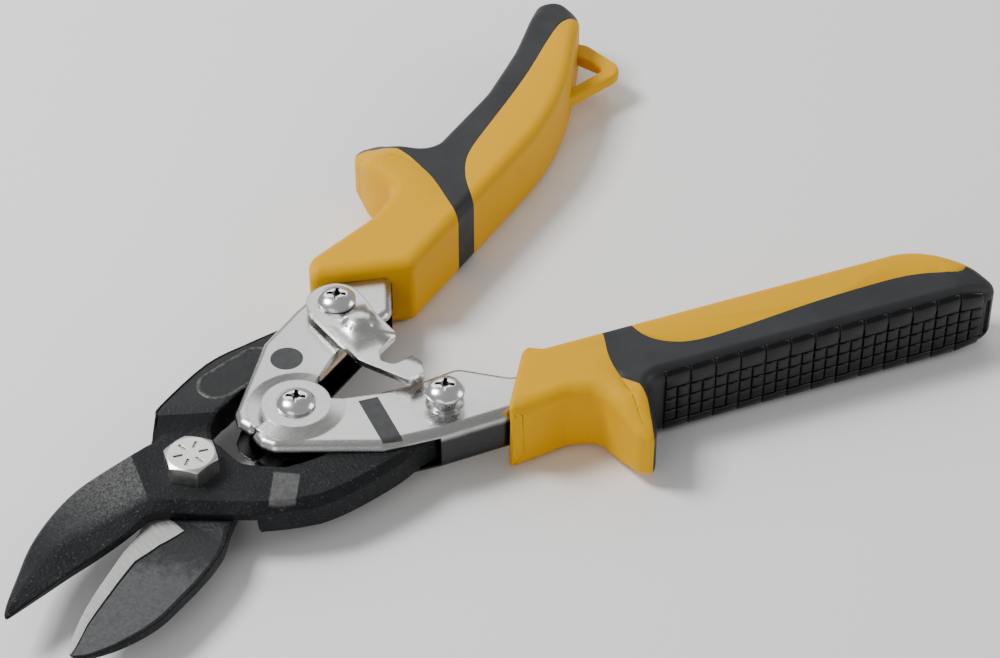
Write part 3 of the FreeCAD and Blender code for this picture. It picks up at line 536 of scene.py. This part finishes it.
def blade_mesh(stations, flipped):
    """Lofts a blade through its stations; a flipped one lies below the mating plane."""
    rows = []
    count = len(stations)
    for index in range(count - 1):
        quad = [stations[max(0, min(count - 1, index + offset))] for offset in (-1, 0, 1, 2)]
        for step in range(LOFT_STEPS if index < count - 2 else LOFT_STEPS + 1):
            t = step / LOFT_STEPS
            plan = [catmull(*(station[axis] for station in quad), t) for axis in range(4)]
            rest = [lerp(quad[1][axis], quad[2][axis], t) for axis in range(4, 10)]
            rows.append(blade_ring(plan + rest))
    work = bmesh.new()
    grid = []
    for row in rows:
        line = []
        for point, _ in row:
            height = 2 * BLADE_MIDDLE - point.z if flipped else point.z
            line.append(work.verts.new((point.x, point.y, height)))
        grid.append(line)
    size = len(rows[0])
    for first, second, row in zip(grid, grid[1:], rows):
        for place in range(size):
            following = (place + 1) % size
            face = work.faces.new((first[place], first[following],
                                   second[following], second[place]))
            tag, next_tag = row[place][1], row[following][1]
            face.material_index = tag if tag == next_tag else 0
    work.faces.new(grid[0])
    work.faces.new(grid[-1])
    return work


# the sections, from the tip to the tail
UPPER_STATIONS = [
    (-56.2, -9.5, -55.9, -10.1, 0.50, 10.60, 10.70, 10.5, 10.05, 0.0),
    (-55.6, -8.4, -54.6, -10.0, 0.55, 10.75, 11.10, 10.7, 10.05, 0.0),
    (-53.6, -6.3, -51.6, -9.7, 0.60, 11.00, 11.60, 11.0, 10.05, 0.0),
    (-48.6, -2.0, -45.4, -9.0, 0.62, 11.60, 12.50, 11.4, 10.05, 0.0),
    (-41.4, 3.9, -38.6, -8.2, 0.55, 12.30, 13.20, 11.7, 10.05, 0.0),
    (-33.0, 8.6, -31.0, -7.5, 0.51, 12.80, 13.50, 11.9, 10.05, 0.0),
    (-24.4, 11.7, -23.8, -6.5, 0.44, 13.10, 13.75, 12.0, 10.05, 0.0),
    (-16.6, 12.7, -18.4, -5.4, 0.35, 13.40, 13.90, 12.2, 10.05, 0.0),
    (-8.2, 13.0, -15.0, -4.8, 0.20, 13.90, 13.90, 12.2, 10.05, 0.0),
    (-2.0, 13.2, -11.0, -6.9, 0.11, 13.90, 13.90, 11.9, 10.05, 0.0),
    (4.0, 11.9, -6.2, -11.3, 0.10, 13.90, 13.90, 11.7, 10.05, 0.0),
    (8.0, 7.6, -1.4, -15.4, 0.10, 13.90, 13.90, 11.7, 10.05, 0.0),
    (9.3, 2.0, 1.0, -17.5, 0.12, 13.90, 13.90, 11.7, 10.05, 0.0),
    (9.6, -4.2, 2.8, -19.0, 0.14, 13.90, 13.90, 11.7, 10.05, 0.0),
    (10.9, -6.6, 3.8, -19.7, 0.15, 13.90, 13.90, 11.7, 10.05, 0.0),
    (11.8, -7.6, 4.5, -20.1, 0.15, 13.90, 13.90, 11.7, 6.10, 0.0),
    (16.6, -12.4, 9.6, -23.2, 0.14, 13.90, 13.90, 11.7, 6.10, 0.0),
    (19.0, -13.3, 14.0, -25.4, 0.14, 13.90, 13.90, 11.6, 6.10, 0.0),
    (21.6, -14.1, 18.0, -26.9, 0.14, 13.90, 13.90, 11.6, 6.10, 0.0),
    (28.0, -15.2, 26.0, -27.8, 0.14, 13.90, 13.90, 11.8, 6.10, 0.0),
    (40.0, -15.2, 38.0, -27.6, 0.12, 13.90, 13.90, 12.2, 6.10, 0.0),
    (50.0, -14.6, 47.0, -26.2, 0.08, 13.90, 13.90, 12.8, 6.10, 0.0),
    (56.4, -14.9, 55.8, -26.8, 0.06, 13.90, 13.90, 13.3, 6.10, 0.0),
    (60.0, -15.8, 60.0, -26.0, 0.06, 13.90, 13.90, 13.3, 6.10, 0.0),
    (62.3, -18.2, 62.3, -23.6, 0.10, 13.90, 13.90, 13.3, 6.10, 0.0),
    (63.0, -20.2, 63.0, -21.6, 0.20, 13.90, 13.90, 13.5, 6.10, 0.0),
]
LOWER_STATIONS = [
    (-50.6, -27.9, -50.9, -26.9, 0.50, 10.80, 10.90, 10.6, 10.05, 0.40),
    (-49.8, -28.9, -50.3, -25.9, 0.50, 11.20, 11.50, 10.8, 10.05, 0.34),
    (-47.6, -30.2, -49.0, -24.5, 0.50, 11.80, 12.20, 11.0, 10.05, 0.27),
    (-42.0, -31.3, -43.7, -20.0, 0.50, 12.40, 13.00, 11.3, 10.05, 0.20),
    (-35.6, -31.6, -37.9, -16.1, 0.50, 12.80, 13.40, 11.5, 10.05, 0.19),
    (-29.6, -31.0, -31.6, -12.5, 0.45, 13.00, 13.60, 11.7, 10.05, 0.18),
    (-22.4, -28.8, -25.2, -9.0, 0.40, 13.20, 13.70, 11.8, 10.05, 0.19),
    (-14.6, -26.0, -19.0, -6.0, 0.30, 13.40, 13.90, 12.0, 10.05, 0.30),
    (-7.4, -22.2, -14.2, -1.5, 0.15, 13.90, 13.90, 12.2, 10.05, 0.50),
    (-2.4, -17.8, -14.2, 4.4, 0.11, 13.90, 13.90, 11.9, 10.05, 0.0),
    (3.5, -13.2, -8.5, 9.3, 0.10, 13.90, 13.90, 11.7, 10.05, 0.0),
    (8.5, -8.9, -3.5, 13.6, 0.10, 13.90, 13.90, 11.7, 10.05, 0.0),
    (11.4, 8.6, 0.2, 17.2, 0.12, 13.90, 13.90, 11.7, 10.05, 0.0),
    (15.6, 12.2, 3.6, 20.4, 0.14, 13.90, 13.90, 11.7, 6.50, 0.0),
    (18.8, 13.0, 6.4, 22.3, 0.14, 13.90, 13.90, 11.7, 6.10, 0.0),
    (27.0, 15.2, 23.0, 27.4, 0.14, 13.90, 13.90, 12.0, 6.10, 0.0),
    (40.0, 15.2, 36.0, 27.1, 0.12, 13.90, 13.90, 12.2, 6.10, 0.0),
    (50.0, 14.6, 47.0, 26.2, 0.08, 13.90, 13.90, 12.8, 6.10, 0.0),
    (56.4, 14.9, 55.8, 26.8, 0.06, 13.90, 13.90, 13.3, 6.10, 0.0),
    (60.0, 15.8, 60.0, 26.0, 0.06, 13.90, 13.90, 13.3, 6.10, 0.0),
    (62.3, 18.2, 62.3, 23.6, 0.10, 13.90, 13.90, 13.3, 6.10, 0.0),
    (63.0, 20.2, 63.0, 21.6, 0.20, 13.90, 13.90, 13.5, 6.10, 0.0),
]


def forged_blade(name, stations, flipped, pivot_hole, link):
    """One blade with its two holes, in place of the CAD blade."""
    work = drill(blade_mesh(stations, flipped), MAIN_PIVOT, pivot_hole)
    work = drill(work, link, LINK_HOLE)
    finishes = ["blade_steel", "ground_steel", "recess_steel", "cut_steel"]
    make_piece(name + "_forged", work, name, finishes, [name])


def blades():
    forged_blade("upper_blade", UPPER_STATIONS, False, BOLT_HOLE, RIGHT_LINK)
    forged_blade("lower_blade", LOWER_STATIONS, True, BOLT_CLEARANCE_HOLE, LEFT_LINK)


# ------------------------------------------------------------ grips
GRIP_TOP = 20.0
EDGE_ROUND = 3.2

# where the guards and the grips' ends get lower: a foot in plan, the direction in
# which the section gets lower, the length over which it does, by how much, the
# height that stays put, and the reach to either side
TAPERS = {
    "right": [((89.5, -48.0), (-0.12, -0.99), 13.0, 0.32, 8.0, 8.0),
              ((177.0, -66.0), (0.95, -0.31), 12.0, 0.24, 9.0, 26.0)],
    "left": [((102.0, 57.0), (0.05, 0.999), 13.0, 0.36, 6.5, 8.5),
             ((170.0, 78.0), (0.88, 0.47), 12.0, 0.16, 9.0, 26.0)],
}
# the tapers whose foot lies beyond this x are at the grips' ends
GRIP_END = 150.0
# how far the right guard's rear face comes forward at its tip
GUARD_SLIM = 2.8


def taper(point, side):
    """Lowers a grip's section towards the guard's tip and the grip's end."""
    for foot, heading, length, share, level, reach in TAPERS[side]:
        offset = Vector((point.x - foot[0], point.y - foot[1]))
        along = offset.x * heading[0] + offset.y * heading[1]
        if along <= 0 or abs(offset.x * heading[1] - offset.y * heading[0]) > reach:
            continue
        t = min(along / length, 1.0)
        t = t * t * (3 - 2 * t)
        point.z = level + (point.z - level) * (1 - share * t)
        if side == "right" and foot[0] < GRIP_END:
            behind = max(0.0, min((point.x - foot[0] + 4.0) / 6.0, 1.0))
            point.x -= GUARD_SLIM * t * behind


# the collars' front faces, from the inner corner to the outer one
COLLARS = {"right": ((80.0, -21.3), (65.3, -35.4)), "left": ((80.0, 20.2), (57.3, 32.4))}
COLLAR_END = 92.0
LIP_DEPTH = 5.0
LIP_SHARE = 0.4
FLARE_DEPTH = 12.0
FLARE = 2.4

# the guards are yellow in front of these lines, given from root to tip
GUARD_LINES = {
    "right": [(91.0, -43.0), (93.2, -48.0), (92.7, -52.0),
              (91.2, -57.0), (88.0, -61.0), (84.0, -66.0)],
    "left": [(104.8, 48.6), (105.2, 54.0), (104.9, 59.0),
             (103.8, 63.5), (101.5, 67.0), (95.0, 70.5)],
}


def slice_near(work, place, heading, wanted, any_corner=False):
    """Adds a line of vertices where a plane crosses the wanted faces.

    A face is wanted by its middle, or by any of its corners.
    """
    if any_corner:
        faces = [face for face in work.faces if any(wanted(vert.co) for vert in face.verts)]
    else:
        faces = [face for face in work.faces if wanted(face.calc_center_median())]
    edges = list({edge for face in faces for edge in face.edges})
    verts = list({vert for face in faces for vert in face.verts})
    bmesh.ops.bisect_plane(work, geom=verts + edges + faces, dist=0.001,
                           plane_co=(place[0], place[1], 0), plane_no=(heading[0], heading[1], 0))


def crisp_lip(work, side):
    """Tightens the rounding at a collar's front rim."""
    inner, outer = (Vector(corner) for corner in COLLARS[side])
    face_line = (outer - inner).normalized()
    into = Vector((-face_line.y, face_line.x))
    if into.x < 0:
        into = -into
    for depth in (0.8, 1.6, EDGE_ROUND, 4.2, LIP_DEPTH):
        slice_near(work, inner + into * depth, into, lambda centre: centre.x < COLLAR_END)
    for vert in work.verts:
        depth = (vert.co.xy - inner).dot(into)
        if depth > LIP_DEPTH or vert.co.x > COLLAR_END:
            continue
        share = min((LIP_DEPTH - depth) / (LIP_DEPTH - EDGE_ROUND), 1.0)
        if vert.co.z > GRIP_TOP - EDGE_ROUND:
            target = GRIP_TOP - (GRIP_TOP - vert.co.z) * LIP_SHARE
        elif vert.co.z < EDGE_ROUND:
            target = vert.co.z * LIP_SHARE
        else:
            continue
        vert.co.z = lerp(vert.co.z, target, share)
        shift = into * min(depth, EDGE_ROUND) * (LIP_SHARE - 1) * share
        vert.co.x += shift.x
        vert.co.y += shift.y
    for vert in work.verts:
        offset = vert.co.xy - inner
        depth, across = offset.dot(into), offset.dot(face_line)
        if depth < FLARE_DEPTH and across > 0 and vert.co.x < COLLAR_END:
            share = 1 - max(depth, 0.0) / FLARE_DEPTH
            share *= min(across / (outer - inner).length, 1.0)
            vert.co.x -= FLARE * share
            vert.co.y -= FLARE * 0.3 * share


# the guards lie within these limits of x and of y
GUARD_REAR, GUARD_ROOT = 112.0, 42.0


def paint_guard(work, side):
    """Gives the front of a guard the second material."""
    line = GUARD_LINES[side]
    sign = 1 if side == "left" else -1

    def near(centre):
        return centre.x < GUARD_REAR and centre.y * sign > GUARD_ROOT

    for first, second in zip(line, line[1:]):
        slice_near(work, first, (second[1] - first[1], first[0] - second[0]), near)
    for face in work.faces:
        centre = face.calc_center_median()
        if not near(centre) or centre.y * sign < line[0][1] * sign:
            continue
        for first, second in zip(line, line[1:]):
            if first[1] * sign <= centre.y * sign <= second[1] * sign:
                share = (centre.y - first[1]) / (second[1] - first[1])
                if centre.x < lerp(first[0], second[0], share):
                    face.material_index = 1


def copied(node_name):
    """A CAD part's mesh as a bmesh, in millimetres, with its seams closed."""
    work = bmesh.new()
    work.from_mesh(NODES[node_name].data)
    for vert in work.verts:
        vert.co /= MM
    bmesh.ops.remove_doubles(work, verts=work.verts, dist=0.0005)
    return work


TAPER_STEPS = 8
SLICE_BEHIND, SLICE_BESIDE = 12.0, 6.0


def moulded(node_name, side, slots, piece_name):
    """A finished copy of a grip part with a tapered guard and end; a cover also gets its guard's
    front in the second material, and the right shell a crisp collar.
    """
    work = copied(node_name)
    for foot, heading, length, _, _, reach in TAPERS[side]:
        def wanted(spot):
            offset = spot.xy - Vector(foot)
            return (offset.dot(Vector(heading)) > -SLICE_BEHIND
                    and abs(offset.cross(Vector(heading))) < reach + SLICE_BESIDE)

        for step in range(TAPER_STEPS + 1):
            place = Vector(foot) + Vector(heading) * length * step / TAPER_STEPS
            slice_near(work, place, heading, wanted, foot[0] > GRIP_END)
    if len(slots) > 1:
        paint_guard(work, side)
    elif side == "right":
        crisp_lip(work, side)
    for vert in work.verts:
        taper(vert.co, side)
    bmesh.ops.triangulate(work, faces=work.faces)
    piece = make_piece(piece_name, work, side + "_handle", slots, [node_name],
                       sharp=32.0)
    # the large flat faces set the shading of the rounded edges beside them
    step = piece.modifiers.new("face_weighting", "WEIGHTED_NORMAL")
    step.keep_sharp = True
    step.weight = 90


LATCH_TOP = 19.3
BUMP_CENTRE = Vector((56.6, 11.4))
BUMP_REACH = 3.8
# the latch's pressed bump: the CAD ring's rise, then the radius and rise it gets here
BUMP_RINGS = [(0.0, 4.4, 0.0), (1.2, 3.6, 0.9), (1.92, 2.6, 1.62), (2.4, 1.3, 2.05)]


def pressed_latch():
    """A copy of the latch plate with its bump drawn to a smooth dome."""
    work = copied("latch_plate")
    for vert in work.verts:
        offset = vert.co.xy - BUMP_CENTRE
        if offset.length > BUMP_REACH or vert.co.z < LATCH_TOP - 0.05:
            continue
        rise = vert.co.z - LATCH_TOP
        _, radius, height = min(BUMP_RINGS, key=lambda ring: abs(ring[0] - rise))
        if offset.length > 0.5:
            offset = offset.normalized() * radius
        vert.co = (BUMP_CENTRE.x + offset.x, BUMP_CENTRE.y + offset.y, LATCH_TOP + height)
    bmesh.ops.triangulate(work, faces=work.faces)
    make_piece("latch_plate_pressed", work, "latch", ["plated_steel"],
               ["latch_plate"], sharp=30.0)


PAD_FOOT = (95.4, -46.8)
PAD_HEADING = (0.9493, -0.3144)


def pad_point(u, s, lift):
    """A point on the right grip's outer side: u along it, s up and over its edge."""
    out = Vector((PAD_HEADING[1], -PAD_HEADING[0], 0))
    base = Vector((PAD_FOOT[0] + PAD_HEADING[0] * u, PAD_FOOT[1] + PAD_HEADING[1] * u, 0))
    bend = GRIP_TOP - EDGE_ROUND
    if s > bend:
        angle = (s - bend) / EDGE_ROUND
        centre, height = bend, EDGE_ROUND
        normal = out * math.cos(angle) + Vector((0, 0, math.sin(angle)))
    elif s < EDGE_ROUND:
        angle = (EDGE_ROUND - s) / EDGE_ROUND
        centre, height = EDGE_ROUND, EDGE_ROUND
        normal = out * math.cos(angle) - Vector((0, 0, math.sin(angle)))
    else:
        centre, height = s, EDGE_ROUND
        normal = out
    point = base - out * height + Vector((0, 0, centre)) + normal * (height + lift)
    taper(point, "right")
    return point


def pad_block(work, u0, u1, s0, s1, low, high, bevel, parts):
    """A raised block with sloping sides, bent round the grip's edge."""
    layers = []
    profile = ((0.0, low), (0.0, high - bevel), (bevel * 0.35, high - bevel * 0.35), (bevel, high))
    for inset, lift in profile:
        grid = []
        for u in (u0 + inset, u1 - inset):
            grid.append([pad_point(u, lerp(s0 + inset, s1 - inset, j / parts), lift)
                         for j in range(parts + 1)])
        ring = grid[0] + grid[1][::-1]
        layers.append([work.verts.new(point) for point in ring])
    count = len(layers[0])
    for lower, upper in zip(layers, layers[1:]):
        for place in range(count):
            following = (place + 1) % count
            work.faces.new((lower[place], lower[following], upper[following], upper[place]))
    for layer in (layers[0], layers[-1]):
        for j in range(parts):
            work.faces.new((layer[j], layer[j + 1], layer[count - 2 - j], layer[count - 1 - j]))


PAD_START, PAD_END = 5.8, 90.2
WIDE_BLOCKS = 13
# each row's lower and upper limit, and the blocks that it has to a wide one
PAD_ROWS = [(0.9, 3.9, 1), (4.2, 7.3, 2), (7.6, 10.7, 2), (11.0, 14.1, 2), (14.4, 19.3, 1)]
BLOCK_GAP = 0.34
BLOCK_RISE = 0.45
BLOCK_BEVEL = 0.32
# the base between the blocks starts this much earlier and has this much longer sections
BASE_LEAD, BASE_EXTRA = 0.7, 0.12


def chequered_pad():
    work = bmesh.new()
    pitch = (PAD_END - PAD_START) / WIDE_BLOCKS
    for place in range(WIDE_BLOCKS):
        start = PAD_START - BASE_LEAD + (pitch + BASE_EXTRA) * place
        pad_block(work, start, start + pitch + BASE_EXTRA, 2.9, 16.7, -1.3, -0.12, 0.03, 8)
    for low, high, split in PAD_ROWS:
        for place in range(WIDE_BLOCKS * split):
            start = PAD_START + pitch / split * place
            end = start + pitch / split - BLOCK_GAP
            pad_block(work, start, end, low, high, -0.3, BLOCK_RISE, BLOCK_BEVEL, 4)
    make_piece("right_grip_blocks", work, "right_handle", ["black_pad"],
               ["right_grip_pad"], sharp=50.0)


def grips():
    for side in ("right", "left"):
        moulded(side + "_grip_shell", side, ["yellow_plastic"], side + "_grip_yellow")
        moulded(side + "_grip_overmould", side, ["black_cover", "yellow_plastic"],
                side + "_grip_cover")
    chequered_pad()


# ------------------------------------------------------------ marks
def surface_height(node_name, x, y):
    """The height, in millimetres, of a part's upper surface."""
    above = Vector((x * MM, y * MM, 0.05))
    hit, place, _, _ = NODES[node_name].ray_cast(above, Vector((0, 0, -1)))
    return place.z / MM if hit else 0.0


INK_HEIGHT = 0.04


def draped(name, columns, rows, spot, node_name, body):
    """A thin printed mark that follows a plate's upper surface.

    spot(i, j) gives the plan position of a grid point, with i and j from 0 to 1.
    """
    work = bmesh.new()
    layers = []
    for lift in (-0.05, INK_HEIGHT):
        grid = []
        for i in range(columns + 1):
            line = []
            for j in range(rows + 1):
                x, y = spot(i / columns, j / rows)
                line.append(work.verts.new((x, y, surface_height(node_name, x, y) + lift)))
            grid.append(line)
        layers.append(grid)
        for i in range(columns):
            for j in range(rows):
                work.faces.new((grid[i][j], grid[i + 1][j],
                                grid[i + 1][j + 1], grid[i][j + 1]))
    rim = [(i, 0) for i in range(columns)] + [(columns, j) for j in range(rows)]
    rim += [(i, rows) for i in range(columns, 0, -1)] + [(0, j) for j in range(rows, 0, -1)]
    for (i, j), (k, m) in zip(rim, rim[1:] + rim[:1]):
        work.faces.new((layers[0][i][j], layers[0][k][m], layers[1][k][m], layers[1][i][j]))
    make_piece(name, work, body, ["print_ink"])


def label_spot(i, j):
    """Maps the unit square to the label's four corners."""
    near, far = Vector((41.6, -7.8)), Vector((46.0, -9.5))
    near_end, far_end = Vector((37.4, -22.6)), Vector((41.7, -24.6))
    return tuple(near.lerp(far, i).lerp(near_end.lerp(far_end, i), j))


DISC_CENTRE = (37.5, 14.8)
DISC_RADIUS = 3.9


def disc_spot(i, j):
    """Maps the unit square to a disc."""
    a, b = 2 * i - 1, 2 * j - 1
    return (DISC_CENTRE[0] + DISC_RADIUS * a * math.sqrt(1 - b * b / 2),
            DISC_CENTRE[1] + DISC_RADIUS * b * math.sqrt(1 - a * a / 2))


# across the raised line: the distance from its middle and the height over the blade
OVAL_SECTION = ((-0.6, -0.1), (-0.4, 0.07), (0.0, 0.11), (0.4, 0.07), (0.6, -0.1))


def raised_oval():
    """A plain forged oval on the lower blade's tail."""
    near, far, radius = Vector((20.8, 19.6)), Vector((33.0, 20.6)), 4.6
    heading = math.atan2(far.y - near.y, far.x - near.x)
    path = []
    for centre, start in ((near, 90), (far, -90)):
        for turn in range(0, 181, 12):
            angle = heading + math.radians(start + turn)
            path.append((centre, Vector((math.cos(angle), math.sin(angle)))))
    work = bmesh.new()
    rings = []
    for centre, out in path:
        ring = []
        for offset, height in OVAL_SECTION:
            place = centre + out * (radius + offset)
            ring.append(work.verts.new((place.x, place.y, BLADE_TOP + height)))
        rings.append(ring)
    for first, second in zip(rings, rings[1:] + rings[:1]):
        for place in range(len(OVAL_SECTION)):
            following = (place + 1) % len(OVAL_SECTION)
            work.faces.new((first[place], first[following], second[following], second[place]))
    make_piece("lower_blade_oval", work, "lower_blade", ["worn_steel"], sharp=60.0)


def marks():
    draped("plain_label_block", 6, 24, label_spot, "right_handle_channel", "right_handle")
    draped("plain_disc_mark", 16, 16, disc_spot, "left_handle_channel", "left_handle")
    raised_oval()


# ------------------------------------------------------------ floor, light, camera
FLOOR_HALF = 3


def stage_floor():
    mesh = bpy.data.meshes.new("floor")
    work = bmesh.new()
    corners = [work.verts.new((x * FLOOR_HALF, y * FLOOR_HALF, -0.0002))
               for x, y in ((-1, -1), (1, -1), (1, 1), (-1, 1))]
    work.faces.new(corners)
    work.to_mesh(mesh)
    work.free()
    floor = bpy.data.objects.new("floor", mesh)
    bpy.context.collection.objects.link(floor)
    s = Shader("pale_floor", (0.93, 0.93, 0.93), 0.7)
    s.colour(s.ramp(s.noise(3.0, 2.0), [(0.3, (0.92, 0.92, 0.92)), (0.7, (0.94, 0.94, 0.94))]))
    mesh.materials.append(s.done())


def area_light(name, place, aim, width, height, watts):
    data = bpy.data.lights.new(name, "AREA")
    data.shape = "RECTANGLE"
    data.size = width
    data.size_y = height
    data.energy = watts
    light = bpy.data.objects.new(name, data)
    light.location = place
    light.rotation_euler = (Vector(aim) - Vector(place)).to_track_quat("-Z", "Y").to_euler()
    bpy.context.collection.objects.link(light)


def studio():
    world = bpy.data.worlds.new("studio")
    bpy.context.scene.world = world
    world.use_nodes = True
    world.node_tree.nodes["Background"].inputs["Color"].default_value = (1.0, 1.0, 1.0, 1.0)
    world.node_tree.nodes["Background"].inputs["Strength"].default_value = 0.33
    middle = (0.06, 0.0, 0.0)
    area_light("key", (-0.30, 0.50, 0.85), middle, 0.35, 0.35, 10.5)
    area_light("panel", (0.52, 0.78, 0.72), middle, 1.2, 0.6, 3.6)
    area_light("fill", (-0.75, -0.35, 0.45), middle, 0.5, 0.5, 1.6)
    area_light("side", (0.85, -0.45, 0.40), middle, 0.4, 0.4, 1.6)


def photo_camera():
    data = bpy.data.cameras.new("camera")
    data.sensor_width = 36.0
    data.lens = 100.8
    data.clip_start = 0.01
    camera = bpy.data.objects.new("camera", data)
    camera.location = (-0.2375, -0.3997, 0.457)
    aim = Vector((0.4782, 0.5824, -0.6574))
    camera.rotation_euler = aim.to_track_quat("-Z", "Y").to_euler()
    bpy.context.collection.objects.link(camera)
    bpy.context.scene.camera = camera


blades()
grips()
pressed_latch()
marks()
stage_floor()
studio()
photo_camera()
